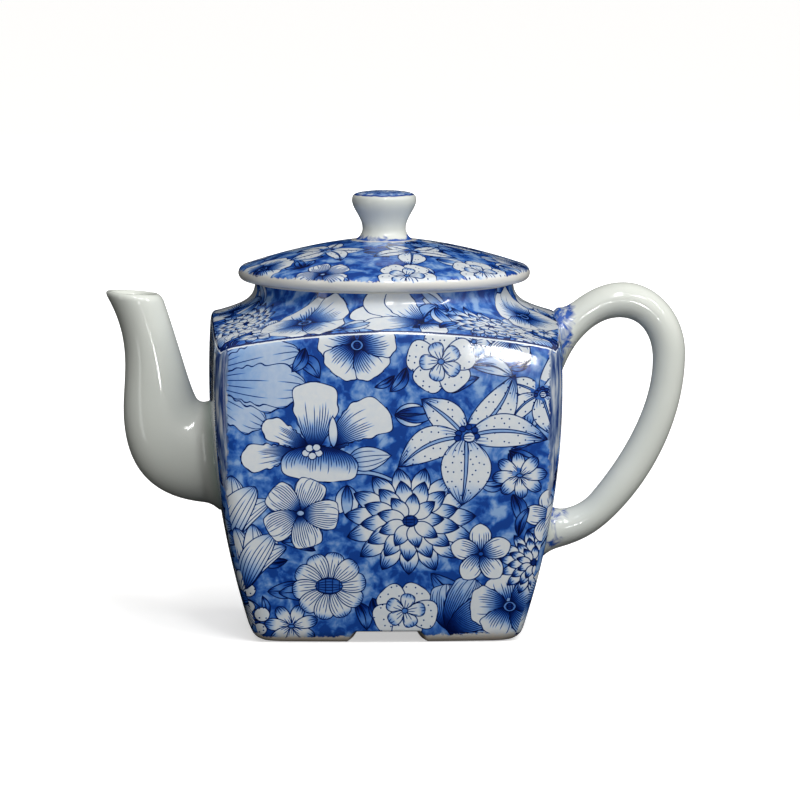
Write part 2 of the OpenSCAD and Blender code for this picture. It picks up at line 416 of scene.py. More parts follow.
def pot_rings():
    """The pot's skin as rings, from under the floor, up the outside and down to the floor inside.

    Returns the rings, and for each one the zone of the faces just before it."""
    rings, zones = [], []

    def add(points, zone):
        rings.append(points)
        zones.append(zone)

    base = foot_base()
    recess = ring(half_at(0) - FOOT_HEIGHT - FOOT_STRIP - 0.6, 2, FOOT_HEIGHT)
    for share in (0.1, 0.4, 0.7, 1):
        add(recess * [share, share, 1], "under")
    add(ring(half_at(0) - FOOT_HEIGHT - FOOT_STRIP, 2, base), "under")

    shoulder = Shoulder(0, NECK_RADIUS)
    ridge_z = meet_shoulder(shoulder, 0, CORNER_RADIUS)
    ridge = ring(half_at(ridge_z), CORNER_RADIUS, ridge_z)
    ridge_r = np.hypot(ridge[:, 0], ridge[:, 1])
    outwards = ridge[:, :2] / ridge_r[:, None]
    ridge_length = shoulder.length_at(ridge_r)
    near_corner = np.where(ON_ARC, 1, np.abs(ALONG) ** 8)
    soft_below = 2.2 + 2 * near_corner
    soft_above = 1.2 + 1.5 * near_corner

    barrel_foot = FOOT_HEIGHT + 1.2
    for share in (0, 0.06, 0.16, 0.3, 0.5, 0.75):
        z = base + (barrel_foot - base) * share
        zone = "under" if share == 0 else "outside"
        add(ring(half_at(z) - foot_tuck(z, base), CORNER_RADIUS, z), zone)
    steps = round(RIDGE_LEVEL / CELL)
    for i in range(steps + 1):
        z = barrel_foot + (ridge_z - soft_below - barrel_foot) * i / steps
        add(ring(half_at(z), CORNER_RADIUS, z), "outside")

    shoulder_start = shoulder.ring(ridge_length - soft_above, outwards)
    for points in rounded(rings[-1], ridge, shoulder_start, 8):
        add(points, "outside")
    steps = 20
    for i in range(steps + 1):
        length = (ridge_length - soft_above) * (1 - i / steps)
        add(shoulder.ring(length, outwards), "outside")

    lip = [(-0.05, 0.45), (-0.25, 0.15), (-0.6, 0.02), (-1, 0)]
    for dr, dz in lip:
        r = (NECK_RADIUS + dr) * outwards
        add(np.column_stack([r, np.full(COLUMNS, MOUTH_LEVEL - dz)]), "inside")
    for dr, dz in lip[::-1]:
        r = (MOUTH_RADIUS - dr) * outwards
        add(np.column_stack([r, np.full(COLUMNS, MOUTH_LEVEL - dz)]), "inside")

    inner = Shoulder(SHOULDER_THICKNESS, MOUTH_RADIUS)
    inner_radius = 2.5
    soft = 2.5
    inner_z = meet_shoulder(inner, WALL, inner_radius)
    ridge = ring(half_at(inner_z) - WALL, inner_radius, inner_z)
    ridge_r = np.hypot(ridge[:, 0], ridge[:, 1])
    outwards = ridge[:, :2] / ridge_r[:, None]
    ridge_length = inner.length_at(ridge_r)
    for i in range(11):
        add(inner.ring((ridge_length - soft) * i / 10, outwards), "inside")
    wall_top = ring(half_at(inner_z - soft) - WALL, inner_radius, inner_z - soft)
    for points in rounded(rings[-1], ridge, wall_top, 5):
        add(points, "inside")
    floor_round = 3
    wall_foot = FLOOR_LEVEL + floor_round
    for i in range(25):
        z = inner_z - soft + (wall_foot - inner_z + soft) * i / 24
        add(ring(half_at(z) - WALL, inner_radius, z), "inside")
    corner = ring(half_at(FLOOR_LEVEL) - WALL, inner_radius, FLOOR_LEVEL)
    floor_edge = ring(half_at(FLOOR_LEVEL) - WALL - floor_round, inner_radius, FLOOR_LEVEL)
    for points in rounded(rings[-1], corner, floor_edge, 5):
        add(points, "inside")
    for share in (1, 0.7, 0.4, 0.1):
        add(floor_edge * [share, share, 1], "inside")
    return np.array(rings), zones


# ---- Petals: the one shape that the whole print is drawn with ----

PLAIN_PETAL = {
    "swell": 0.6,  # how the outline leaves the base: small is blunt
    "point": 0.5,  # how it closes at the tip: 0.5 is round and 1 is a point
    "bend": 0.0,  # sideways bow, as a share of the length
    "ruffle": 0.0,  # depth of the waves in the edge, in millimetres
    "fill": 0.04,  # tone all over: 0 is bare porcelain and 1 is the darkest blue
    "base_tone": 0.0,
    "base_shade": 0.4,  # share of the length over which the base's tone fades
    "tip_tone": 0.0,
    "lines": 0.0,  # half the number of drawn lines along the petal
    "base_reach": 0.0,  # share of the length that the lines cover from the base
    "tip_reach": 0.0,  # and from the tip
    "dots": 0.0,
    "bars": 0.0,  # lines across
}


def petal(x, z, angle, length, width, **look):
    """One petal from its base at (x, z), along an angle in degrees."""
    unknown = set(look) - set(PLAIN_PETAL)
    if unknown:
        raise ValueError(f"a petal has no {unknown}")
    return {**PLAIN_PETAL, **look, "x": x, "z": z, "angle": angle, "length": length,
            "width": width}


def disc(x, z, across, height=None, angle=0, **look):
    """An oval round a centre."""
    a = math.radians(angle)
    start = (x - across / 2 * math.cos(a), z - across / 2 * math.sin(a))
    look = {"swell": 0.5, "point": 0.5, "fill": 0.5, **look}
    return petal(*start, angle, across, height or across, **look)


def whorl(x, z, count, inner, outer, width, turn=0, squash=1.0, **look):
    """A ring of petals. squash below 1 shows the flower tilted back."""
    petals = []
    for i in range(count):
        a = math.radians(turn + 360 * i / count)
        step = (math.cos(a), squash * math.sin(a))
        length = (outer - inner) * math.hypot(*step)
        angle = math.degrees(math.atan2(step[1], step[0]))
        petals.append(petal(x + inner * step[0], z + inner * step[1], angle, length, width, **look))
    return petals


def ruffled(x, z, size, turn=90, squash=1.0):
    """Five broad waved petals round a dark middle."""
    look = dict(swell=0.75, point=0.3, ruffle=0.35, base_tone=1.1, base_shade=0.72, lines=8,
                base_reach=0.85)
    return (whorl(x, z, 5, 0, size, 1.05 * size, turn, squash, **look)
            + [disc(x, z, 0.34 * size, 0.3 * size, fill=0.55),
               disc(x, z, 0.2 * size, fill=0.9, bars=2, lines=2, base_reach=1)])


def double(x, z, size, turn=90, squash=1.0):
    """Five round dotted petals under five smaller ones."""
    outer = dict(swell=0.7, point=0.32, fill=0.05, base_tone=0.25, dots=1)
    inner = dict(swell=0.8, point=0.35, fill=0.1, tip_tone=0.55, tip_reach=0.3, lines=2,
                 base_reach=0.7)
    return (whorl(x, z, 5, 0, size, 0.95 * size, turn, squash, **outer)
            + whorl(x, z, 5, 0, 0.62 * size, 0.46 * size, turn + 18, squash, **inner)
            + [disc(x, z, 0.2 * size, fill=0.6)])


def five(x, z, size, turn=90, squash=1.0):
    """Five plain petals with dark lined bases."""
    look = dict(swell=0.75, point=0.6, base_tone=0.9, base_shade=0.5, lines=5, base_reach=0.75)
    return (whorl(x, z, 5, 0, size, 0.74 * size, turn, squash, **look)
            + [disc(x, z, 0.18 * size, fill=0.75)])


def pansy(x, z, size, turn=60, squash=1.0):
    """Five blunt petals, lined to their edges."""
    look = dict(swell=0.72, point=0.26, ruffle=0.15, base_tone=0.9, base_shade=0.42, lines=7,
                base_reach=1.1)
    return (whorl(x, z, 5, 0, size, 0.86 * size, turn, squash, **look)
            + [disc(x, z, 0.22 * size, 0.18 * size, fill=0.35, base_tone=0.3)])


def star(x, z, size, count=7, turn=90, squash=0.85):
    """Narrow petals with dark tips round a small oval."""
    look = dict(swell=0.8, point=0.5, tip_tone=0.8, tip_reach=0.4, lines=2.5, base_reach=0.5)
    return (whorl(x, z, count, 0, size, 0.5 * size, turn, squash, **look)
            + [disc(x, z, 0.26 * size, 0.17 * size, fill=0.6)])


def daisy(x, z, size, count=9, turn=80, squash=0.95):
    """Lined petals round a large cross-hatched oval."""
    look = dict(swell=0.6, point=0.34, tip_tone=0.55, tip_reach=0.22, lines=3.5, base_reach=0.85)
    return (whorl(x, z, count, 0.2 * size, size, 0.58 * size, turn, squash, **look)
            + [disc(x, z, 0.74 * size, 0.48 * size, fill=0.72, bars=4, lines=3, base_reach=1.2)])


def dahlia(x, z, size, squash=0.78):
    """Three rings of pointed petals with dark lined tips."""
    look = dict(swell=0.62, point=0.85, tip_tone=0.9, tip_reach=0.5, lines=3.2)
    layers = [(15, 0.45, 1.0, 0.3, 5), (13, 0.24, 0.76, 0.28, 18), (9, 0.08, 0.52, 0.24, 4)]
    petals = []
    for count, inner, outer, width, turn in layers:
        petals += whorl(x, z, count, inner * size, outer * size, width * size, turn, squash, **look)
    return petals + [disc(x, z, 0.24 * size, 0.19 * size, fill=0.85, bars=2, lines=2, base_reach=1)]


def lily(x, z, size, turn=0, mirror=1):
    """Five long pointed petals with dots, each with a pale rib."""
    spread = [(139, 0.72, 0.4, -0.05), (52, 0.97, 0.44, -0.1), (-2, 1.0, 0.42, 0.1),
              (204, 0.9, 0.42, -0.12), (267, 0.84, 0.62, 0.03)]
    petals = []
    for angle, share, width, bend in spread:
        a = mirror * angle + turn
        length = size * share
        petals.append(petal(x, z, a, length, width * size, swell=0.75, point=0.95,
                            bend=mirror * bend, fill=0.05, tip_tone=0.55, tip_reach=0.3,
                            base_tone=0.3, base_shade=0.3, lines=4, base_reach=0.3, dots=1))
        petals.append(petal(x, z, a, 0.94 * length, 0.055 * size, swell=0.3, point=0.6,
                            bend=mirror * bend, fill=0.4))
    beads = [(0.1, 150), (0.11, 110), (0.13, 75), (0.14, 40), (0.13, 5), (0.1, 185)]
    heart = [disc(x + far * size * math.cos(math.radians(a)), z + far * size
                  * math.sin(math.radians(a)), 0.085 * size, fill=0.85) for far, a in beads]
    cup = disc(x + 0.04 * size, z, 0.14 * size, fill=0.08, lines=2, base_reach=1)
    return petals + heart + [cup]


def hibiscus(x, z, size):
    """A large open flower seen from its side: petals behind, and a wide front lip."""
    look = dict(swell=0.85, point=0.3, ruffle=0.4, base_tone=1.0, base_shade=0.55, lines=8,
                base_reach=0.75)
    lip = dict(look, swell=0.4, point=0.28, base_shade=0.75, lines=15, base_reach=0.8)
    lobes = [
        petal(x + 0.5 * size, z - 0.12 * size, 8, 0.62 * size, 0.36 * size, fill=0.2,
              base_tone=0.5, point=0.9, lines=2.5, base_reach=1.1),
        petal(x + 0.25 * size, z, 46, 0.6 * size, 0.26 * size, **look),
        petal(x, z + 0.05 * size, 152, 0.78 * size, 0.34 * size, **look),
        petal(x + 0.25 * size, z + 0.1 * size, 30, 0.95 * size, 0.6 * size, bend=0.1, **look),
        petal(x + 0.02 * size, z, 90, 1.0 * size, 0.66 * size, bend=-0.03, **look),
        petal(x + 0.3 * size, z + 0.08 * size, 92, 0.45 * size, 0.14 * size, fill=0.08,
              base_tone=0.5, point=0.7),
        petal(x - 0.15 * size, z + 0.02 * size, 188, 0.85 * size, 0.4 * size, **look),
        petal(x + 0.12 * size, z + 0.1 * size, 266, 0.5 * size, 1.12 * size, **lip),
    ]
    stamens = [(-0.09, 0.0), (0.09, 0.0), (0, -0.04), (-0.04, 0.07), (0.06, 0.08)]
    return lobes + [disc(x + dx * size, z + dz * size, 0.12 * size, fill=0.12)
                    for dx, dz in stamens]


def pale_fan(x, z):
    """Broad pale blue lobes that reach in from a corner."""
    look = dict(swell=0.9, point=0.42, ruffle=0.6, fill=0.16, base_tone=0.5, base_shade=0.85,
                tip_tone=0.2, tip_reach=0.3, lines=2.5, base_reach=0.7)
    lobes = [(24, 4, 23, 9), (-30, -2, 18, 9), (-16, 2, 23, 10), (12, 2, 25, 10), (-3, 0, 26, 11)]
    return [petal(x, z + dz, a, length, width, **look) for a, dz, length, width in lobes]


def tulip(x, z, size, angle=90):
    """A closed flower of long lined petals."""
    look = dict(swell=0.7, point=0.55, base_tone=0.9, base_shade=0.6, tip_tone=0.4, lines=3.5,
                base_reach=1.1, tip_reach=0.15)
    parts = [(26, 0.95, 0.3, -0.1), (-24, 0.9, 0.3, 0.14), (11, 1.0, 0.36, -0.08),
             (-8, 0.94, 0.4, 0.1)]
    return [petal(x, z, angle + a, size * s, size * w, bend=b, **look) for a, s, w, b in parts]


def bud(x, z, size, angle):
    """A half-open bud with a pale edge."""
    parts = [(14, 0.9, 0.5, 0.16), (-14, 0.9, 0.5, 0.1), (0, 1.0, 0.36, 0.35)]
    return [petal(x, z, angle + a, size * s, size * w, swell=0.7, point=0.75, fill=fill,
                  base_tone=0.6, base_shade=0.6, lines=1.5, base_reach=0.6)
            for a, s, w, fill in parts]


def leaf(x, z, size, angle, bend=0.1, width=0.36, fill=0.55):
    """A pointed blue leaf with a rib and side lines."""
    return [petal(x, z, angle, size, width * size, swell=0.7, point=0.8, bend=bend, fill=fill,
                  base_tone=0.5, base_shade=0.7, tip_tone=0.2, tip_reach=0.3, lines=2.5,
                  base_reach=0.6),
            petal(x, z, angle, 0.9 * size, 0.05 * size, swell=0.2, point=0.5, bend=bend,
                  fill=0.2)]


def sprig(x, z, size, angle):
    """Three leaves on one stem."""
    return (leaf(x, z, 0.8 * size, angle + 38, 0.1) + leaf(x, z, 0.8 * size, angle - 38, -0.1)
            + leaf(x, z, size, angle, 0))


def berry(x, z, size):
    return [disc(x, z, size, fill=0.06, dots=1)]


def stem(x, z, length, angle, bend):
    return [petal(x, z, angle, length, 1.3, swell=0.08, point=0.12, bend=bend, fill=0.38)]


def wing(x, z, size, angle):
    """A large dark flower half hidden: broad petals lined all over."""
    look = dict(swell=0.7, point=0.35, ruffle=0.2, fill=0.3, base_tone=0.7, base_shade=0.8,
                lines=8, base_reach=1.2)
    return [petal(x, z, angle + a, size * share, 0.62 * size, **look)
            for a, share in ((48, 0.8), (-46, 0.85), (20, 1.0), (-14, 1.0))]


def undergrowth(seed, low, high, count):
    """Small leaves and buds scattered under the flowers."""
    random = np.random.default_rng(seed)
    petals = []
    for _ in range(count):
        x, z = random.uniform(low[0], high[0]), random.uniform(low[1], high[1])
        size, angle = random.uniform(5.5, 9), random.uniform(0, 360)
        kind = random.integers(3)
        if kind == 0:
            petals += sprig(x, z, size, angle)
        elif kind == 1:
            petals += leaf(x, z, size, angle, 0.12, 0.42, 0.4)
        else:
            petals += bud(x, z, size, angle)
    return petals


def front_print():
    """The print on the front and back faces, in millimetres from the face's middle and foot."""
    return (
        undergrowth(3, (-42, 4), (-28, 80), 8) + undergrowth(4, (28, 4), (42, 80), 12)
        + pale_fan(-47, 68)
        + berry(-35.5, 14, 3.9) + berry(-32, 7.6, 4.1) + berry(-35.5, 9.5, 3.6)
        + berry(-32.5, 3.6, 3.6)
        + star(-24.5, 4.5, 7, 7, 70)
        + leaf(-25.5, 22, 8, 180, 0.1) + leaf(-18.5, 24.5, 9, 165, -0.1)
        + leaf(-22, 16, 9, 195, 0.1, 0.5) + leaf(-20, 12, 8, 170, -0.1, 0.5)
        + leaf(-8, 11, 8, 290, 0.1, 0.5) + leaf(-4, 12, 8, 300, -0.1, 0.5)
        + tulip(-41.5, 24, 20, 74) + tulip(-36.5, 14, 17.5, 72)
        + leaf(22, 12, 13, 150, 0.12, 0.45) + leaf(20, 6, 9, 120, -0.12, 0.5)
        + wing(15, 3.5, 15, 42) + ruffled(31, 9.5, 10, 105, 0.85) + dahlia(37, 21, 9, 1)
        + stem(-13.5, 43.5, 17, 352, 0.14) + bud(-10.5, 41.5, 8.5, 270)
        + five(41.5, 33, 7.5, 100, 0.95) + leaf(31.5, 39, 8, 285, 0.1, 0.5)
        + leaf(33, 28, 8, 70, 0.1)
        + leaf(-23.5, 74, 8, 320, 0.15, 0.55) + leaf(-21, 76.5, 7, 240, 0.1, 0.5)
        + leaf(4.5, 71.5, 7.5, 235, 0.12, 0.45) + leaf(1.5, 69.5, 6, 210)
        + double(21.5, 78, 7, 60, 0.9) + leaf(16, 65, 8, 30)
        + five(31, 78.5, 7.5, 85, 0.8) + leaf(21, 72, 11, 345, 0.12, 0.42, 0.12)
        + double(13.2, 73, 8.8, 92, 0.92)
        + ruffled(-8, 77.2, 9.8, 90, 0.9)
        + lily(38.5, 64.5, 13, 20)
        + bud(1.5, 59.5, 8.5, 0) + leaf(2, 59.8, 11, 4, -0.06, 0.4)
        + hibiscus(-19.3, 49.8, 18)
        + star(33.2, 43.8, 7, 8, 95)
        + dahlia(5.5, 32.2, 16.8, 0.84)
        + lily(19.5, 53.7, 21)
        + five(23.5, 23.5, 8, 92)
        + pansy(-22.3, 34.3, 9.6, 68, 0.95)
        + double(4.3, 8.6, 8.4, 60, 0.88)
        + daisy(-15, 15.2, 9.4, 10)
    )


def side_print():
    """The print on the spout's and the handle's faces."""
    return (
        undergrowth(8, (-42, 4), (42, 80), 30)
        + ruffled(-31, 11, 9.5, 100, 0.9) + double(-8, 7.5, 8, 80, 0.85) + star(14, 6, 7, 7, 75)
        + daisy(33, 12, 9, 9, 90) + tulip(-41, 22, 17, 80) + five(-20, 25, 7.5, 80)
        + dahlia(27, 30, 14) + pansy(4, 24, 9, 60) + star(-3, 39, 7)
        + lily(-25, 45, 18, 12) + double(10, 42, 8.5, 85) + hibiscus(31, 54, 14)
        + ruffled(5, 60, 10, 95) + five(-10, 55, 7.5, 70) + bud(18, 50, 8, 30)
        + daisy(-32, 69, 9) + double(-12, 72, 9, 90, 0.9) + pansy(14, 75, 8.5, 75, 0.9)
        + star(30, 73, 7.5) + five(40, 68, 7, 90) + leaf(-40, 55, 9, 90) + leaf(42, 40, 9, 100)
    )


def shoulder_print():
    """The print on one quarter of the shoulder, in the face's millimetres, above the ridge."""
    return (
        undergrowth(12, (-40, 81), (40, 100), 22)
        + leaf(-44, 81, 14, 25, 0.1, 0.5) + leaf(-40, 82, 12, 60) + tulip(44, 81, 15, 140)
        + star(-33, 87, 6) + five(-30, 97, 6.5) + leaf(-14, 82, 9, 160) + leaf(6, 83, 9, 20)
        + petal_fan(-4, 91) + bud(-12, 83.5, 8, 20) + bud(12, 95, 9, 300)
        + ruffled(-21, 92, 11, 95, 1.0) + dahlia(26, 92, 11.5, 1.0)
        + leaf(13, 84, 8, 50) + double(39, 92, 7, 90)
    )


def petal_fan(x, z):
    """Broad pale petals spread from one side, over small dark leaves."""
    look = dict(swell=0.7, point=0.35, ruffle=0.2, base_tone=1.0, base_shade=0.5, lines=6,
                base_reach=0.6)
    back = [leaf(x + 13, z - 5, 11, a, 0.1, 0.5, 0.4) for a in (70, 35, 0)]
    front = [petal(x + 13, z - 4, a, length, 7.5, **look)
             for a, length in ((168, 19), (150, 17), (130, 13), (190, 16), (300, 8))]
    return sum(back, []) + front


def lid_print():
    """The print on the lid, seen from above with the spout on the left."""
    petals = undergrowth(21, (-36, -36), (36, 36), 60)
    kinds = [(double, 7.5), (pansy, 7), (ruffled, 8), (five, 6.5), (double, 7), (daisy, 7),
             (ruffled, 8), (star, 6.5), (pansy, 7), (double, 7.5)]
    for i, (kind, size) in enumerate(kinds):
        a = math.radians(-82 - 36 * i)
        petals += kind(35 * math.cos(a), 35 * math.sin(a), size, turn=-82 - 36 * i)
    for i in range(5):
        a = math.radians(-70 + 72 * i)
        x, z = 19 * math.cos(a), 19 * math.sin(a)
        petals += lily(x, z, 12, 72 * i) if i % 2 == 0 else hibiscus(x, z - 2, 9.5)
    return petals


# ---- Which petals each cell of the print shows ----

LAYERS = 6
# The grade of an outline is held to this, or the drawn line breaks up at sharp tips
STEEPEST = 4.0
# A cell takes a petal whose outline is this close, so that no line stops at a cell's edge
REACH = 0.6
VECTORS = ("along", "across", "size", "form", "tones", "hatch", "extras")


def petal_numbers(p):
    """The seven vectors that the shader draws a petal with."""
    a = math.radians(p["angle"])
    c, s = math.cos(a) / p["length"], math.sin(a) / p["length"]
    swell, point = p["swell"], p["point"]
    widest = swell / (swell + point)
    peak = widest ** swell * (1 - widest) ** point
    return [
        (c, s, -(p["x"] * c + p["z"] * s)),
        (-s, c, p["x"] * s - p["z"] * c),
        (p["length"], p["width"] / 2 / p["length"] / peak, -4 * p["bend"]),
        (swell, point, p["ruffle"]),
        (p["fill"], p["base_tone"], p["tip_tone"]),
        (p["lines"], p["base_reach"], p["tip_reach"]),
        (p["dots"], p["base_shade"], p["bars"]),
    ]


def petal_depth(numbers, points):
    """How far inside a petal's outline each point is, in millimetres, as the shader has it."""
    along, across, (length, width, bend), (swell, point, ruffle) = numbers[:4]
    x = points @ along
    inner = np.clip(x, 0.002, 0.998)
    y = points @ across + bend * inner * (1 - inner)
    w = width * inner ** swell * (1 - inner) ** point
    slope = w * (swell / inner - point / (1 - inner))
    grade = np.minimum(np.sqrt(1 + slope ** 2), STEEPEST)
    side = ((w - np.abs(y)) * length + ruffle) / grade
    return np.minimum(side, np.minimum(x, 1 - x) * length + 0.1 + ruffle)


def deal_petals(cells, petals):
    """Gives each cell [samples, 3] the topmost petals that reach into it, the top one first."""
    chosen = np.full((len(cells), LAYERS), -1)
    count = np.zeros(len(cells), int)
    covered = np.zeros(len(cells), bool)
    middle = cells[:, 0, :2]
    for i in range(len(petals) - 1, -1, -1):
        p = petals[i]
        a = math.radians(p["angle"])
        centre = np.array([p["x"] + p["length"] / 2 * math.cos(a),
                           p["z"] + p["length"] / 2 * math.sin(a)])
        reach = p["length"] / 2 + p["width"] / 2 + abs(p["bend"]) * p["length"] + 2
        near = ~covered & (count < LAYERS) & (((middle - centre) ** 2).sum(1) < reach ** 2)
        near = np.nonzero(near)[0]
        if not len(near):
            continue
        numbers = [np.array(v) for v in petal_numbers(p)]
        depth = petal_depth(numbers, cells[near])
        hit = near[depth.max(1) > -REACH]
        chosen[hit, count[hit]] = i
        count[hit] += 1
        covered[near[depth.min(1) > 2 * p["ruffle"] + 0.5]] = True
    return chosen


def points_of(mesh):
    """A mesh's points in millimetres."""
    return np.array([v.co for v in mesh.vertices]) / MM


def centres_of(mesh):
    """The middles of a mesh's faces in millimetres."""
    return np.array([p.center for p in mesh.polygons]) / MM


def set_attribute(mesh, name, kind, domain, values):
    attribute = mesh.attributes.new(name, kind, domain)
    key = "vector" if kind == "FLOAT_VECTOR" else "value"
    attribute.data.foreach_set(key, np.asarray(values, np.float32).ravel())


def store_on_points(mesh, name, a, b=0.0, c=0.0):
    """Stores up to three numbers for each point of a mesh, as one vector."""
    columns = [np.broadcast_to(values, len(mesh.vertices)) for values in (a, b, c)]
    set_attribute(mesh, name, "FLOAT_VECTOR", "POINT", np.stack(columns, -1))


def lay_print(obj, panel, prints, locate):
    """Stores on a mesh where each face corner lies in its print and which petals it shows.

    panel numbers each face's print, or is -1, and locate(points, panel) places points in it."""
    mesh = obj.data
    points = np.empty(len(mesh.vertices) * 3, np.float32)
    mesh.vertices.foreach_get("co", points)
    points = points.reshape(-1, 3) / MM
    loops = np.empty(len(mesh.loops), np.int32)
    mesh.loops.foreach_get("vertex_index", loops)
    starts = np.array([p.loop_start for p in mesh.polygons])
    sizes = np.array([p.loop_total for p in mesh.polygons])
    owner = np.repeat(np.arange(len(sizes)), sizes)
    place_ = np.zeros((len(loops), 3))
    place_[:, 2] = 1
    loop_panel = panel[owner]
    for number in range(len(prints)):
        mine = loop_panel == number
        place_[mine, :2] = locate(points[loops[mine]], number)
    set_attribute(mesh, "print_point", "FLOAT_VECTOR", "CORNER", place_)

    table = np.zeros((len(VECTORS), LAYERS, len(sizes), 3))
    blank = petal_numbers(petal(0, 0, 0, 1, 0))
    for part, vector in enumerate(blank):
        table[part] = vector
    for number, petals in enumerate(prints):
        faces = np.nonzero(panel == number)[0]
        if not len(faces):
            continue
        corners = place_[starts[faces][:, None] + np.arange(4) % sizes[faces][:, None]]
        middle = corners.mean(1, keepdims=True)
        edges = (corners + np.roll(corners, 1, 1)) / 2
        chosen = deal_petals(np.concatenate([middle, corners, edges], 1), petals)
        numbers = np.array([petal_numbers(p) for p in petals])
        for layer in range(LAYERS):
            used = chosen[:, layer] >= 0
            picked = numbers[chosen[used, layer]]
            table[:, layer, faces[used]] = picked.transpose(1, 0, 2)
    for part, vector in enumerate(VECTORS):
        for layer in range(LAYERS):
            set_attribute(mesh, f"{vector}_{layer}", "FLOAT_VECTOR", "FACE", table[part, layer])


# ---- Materials ----

# How fast a drawn edge turns from one tone to the other, for each millimetre
EDGE_STEEPNESS = 8.0
HATCH_HALF = 0.1
OUTLINE_WIDTH = 0.27
RUFFLE_WAVES = 11.0
DARKEST_WASH = 0.9


def linear(colour):
    """A colour given as 0 to 255 for each of red, green and blue, as the shader wants it."""
    shares = [c / 255 for c in colour]
    return [c / 12.92 if c <= 0.04045 else ((c + 0.055) / 1.055) ** 2.4 for c in shares] + [1]


def operation(name, swapped=False):
    """An operator that adds a Math node to the graph of the value it works on."""
    def work(value, other):
        pair = (other, value) if swapped else (value, other)
        return value.graph.math(name, *pair)
    return work


class Value:
    """A number in a graph. Sums and products of values are Math nodes."""

    def __init__(self, graph, socket):
        self.graph = graph
        self.socket = socket

    __add__ = __radd__ = operation("ADD")
    __mul__ = __rmul__ = operation("MULTIPLY")
    __sub__ = operation("SUBTRACT")
    __rsub__ = operation("SUBTRACT", swapped=True)
    __truediv__ = operation("DIVIDE")
    __pow__ = operation("POWER")

    def __abs__(self):
        return self.graph.math("ABSOLUTE", self)

    def clamped(self):
        """The same number kept between 0 and 1."""
        self.socket.node.use_clamp = True
        return self


class Graph:
    """Adds nodes to a material and links them."""

    def __init__(self, name):
        self.material = bpy.data.materials.new(name)
        self.material.use_nodes = True
        self.tree = self.material.node_tree
        self.tree.nodes.clear()
        self.place = self.add("TexCoord").outputs["Object"]

    def put(self, socket, value):
        if isinstance(value, Value):
            value = value.socket
        if isinstance(value, bpy.types.NodeSocket):
            self.tree.links.new(value, socket)
        else:
            socket.default_value = value

    def add(self, kind, inputs=None, **settings):
        node = self.tree.nodes.new("ShaderNode" + kind)
        for key, value in settings.items():
            setattr(node, key, value)
        for key, value in (inputs or {}).items():
            self.put(node.inputs[key], value)
        return node

    def value(self, node, output=0):
        return Value(self, node.outputs[output])

    def math(self, operation_, *values):
        return self.value(self.add("Math", dict(enumerate(values)), operation=operation_))

    def lower(self, a, b):
        return self.math("MINIMUM", a, b)

    def higher(self, a, b):
        return self.math("MAXIMUM", a, b)

    def dot(self, a, b):
        return self.value(self.add("VectorMath", {0: a, 1: b}, operation="DOT_PRODUCT"), "Value")

    def split(self, vector):
        node = self.add("SeparateXYZ", {0: vector})
        return [self.value(node, axis) for axis in "XYZ"]

    def attribute(self, name):
        return self.add("Attribute", attribute_name=name).outputs["Vector"]

    def noise(self, scale, detail=3.0, roughness=0.5, distortion=0.0, vector=None):
        inputs = {"Vector": vector or self.place, "Scale": scale, "Detail": detail,
                  "Roughness": roughness, "Distortion": distortion}
        return self.value(self.add("TexNoise", inputs), "Fac")

    def blend(self, factor, a, b):
        """a where factor is 0 and b where it is 1, for numbers."""
        return self.value(self.add("Mix", {0: factor, 2: a, 3: b}, data_type="FLOAT"))

    def colours(self, factor, a, b):
        """As blend, for colours. Each is a socket, or 0 to 255 for red, green and blue."""
        a, b = (linear(c) if isinstance(c, tuple) else c for c in (a, b))
        return self.add("Mix", {0: factor, 6: a, 7: b}, data_type="RGBA").outputs[2]

    def ramp(self, factor, stops):
        node = self.add("ValToRGB", {0: factor})
        elements = node.color_ramp.elements
        while len(elements) < len(stops):
            elements.new(0.5)
        for element, (position, colour) in zip(elements, stops):
            element.position = position
            element.color = linear(colour)
        return node.outputs["Color"]

    def within(self, distance, limit):
        """1 where a distance in millimetres is under limit, with a soft edge of 0.12 mm."""
        return ((limit - distance) * EDGE_STEEPNESS + 0.5).clamped()

    def surface(self, colour, roughness, height, strength, depth, **more):
        """Ends the material in a shader whose bumps are depth metres high."""
        bump = self.add("Bump", {"Strength": strength, "Distance": depth, "Height": height})
        inputs = {"Base Color": colour, "Roughness": roughness, "Normal": bump.outputs[0], **more}
        shader = self.add("BsdfPrincipled", inputs)
        self.add("OutputMaterial", {"Surface": shader.outputs[0]})
        return self.material

    def glaze(self, colour):
        """A clear gloss over a colour, with faint waves in the glaze."""
        uneven = self.noise(90, 2)
        gloss = uneven * 0.1 + 0.04
        waves = uneven * 6.0 + self.noise(900, 2)
        return self.surface(colour, gloss, waves, 0.1, 0.00012, IOR=1.52)


